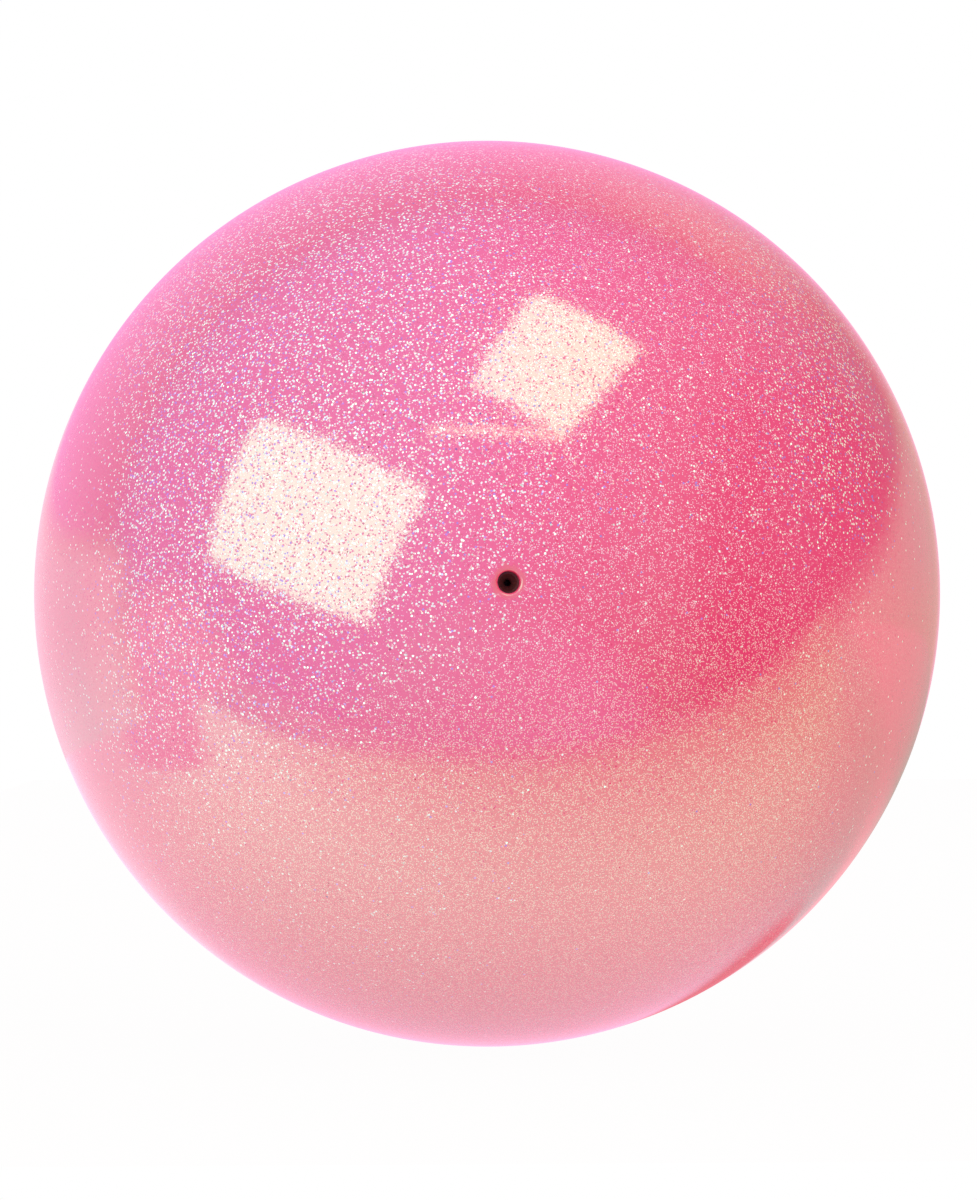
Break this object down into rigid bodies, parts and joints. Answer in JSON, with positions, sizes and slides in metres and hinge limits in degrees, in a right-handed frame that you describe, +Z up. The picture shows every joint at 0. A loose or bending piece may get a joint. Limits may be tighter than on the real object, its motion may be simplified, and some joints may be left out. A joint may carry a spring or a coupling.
{
  "type": "inflatable glitter ball",
  "caption": "Hollow moulded rubber ball with a pearly pink glitter skin under clear gloss, and a recessed self-sealing needle valve.",
  "frame": {"origin": "the centre of the ball", "axes": "-Y out through the needle valve, +Z up, +X to the right when the valve is looked at"},
  "size_m": [0.18, 0.18, 0.18],
  "materials": {
    "topcoat": "clear high gloss lacquer, faintly pearly",
    "glitter": "pearly hot pink full of holographic glitter flakes",
    "carcass_rubber": "smooth moulded rubber, dyed deep pink",
    "housing_rubber": "matt moulded black rubber",
    "core_rubber": "greased soft black rubber"
  },
  "bodies": {
    "root": {"clear_topcoat": "topcoat", "glitter_skin": "glitter", "ball_carcass": "carcass_rubber", "valve_housing": "housing_rubber", "valve_core": "core_rubber"}
  },
  "joints": []
}
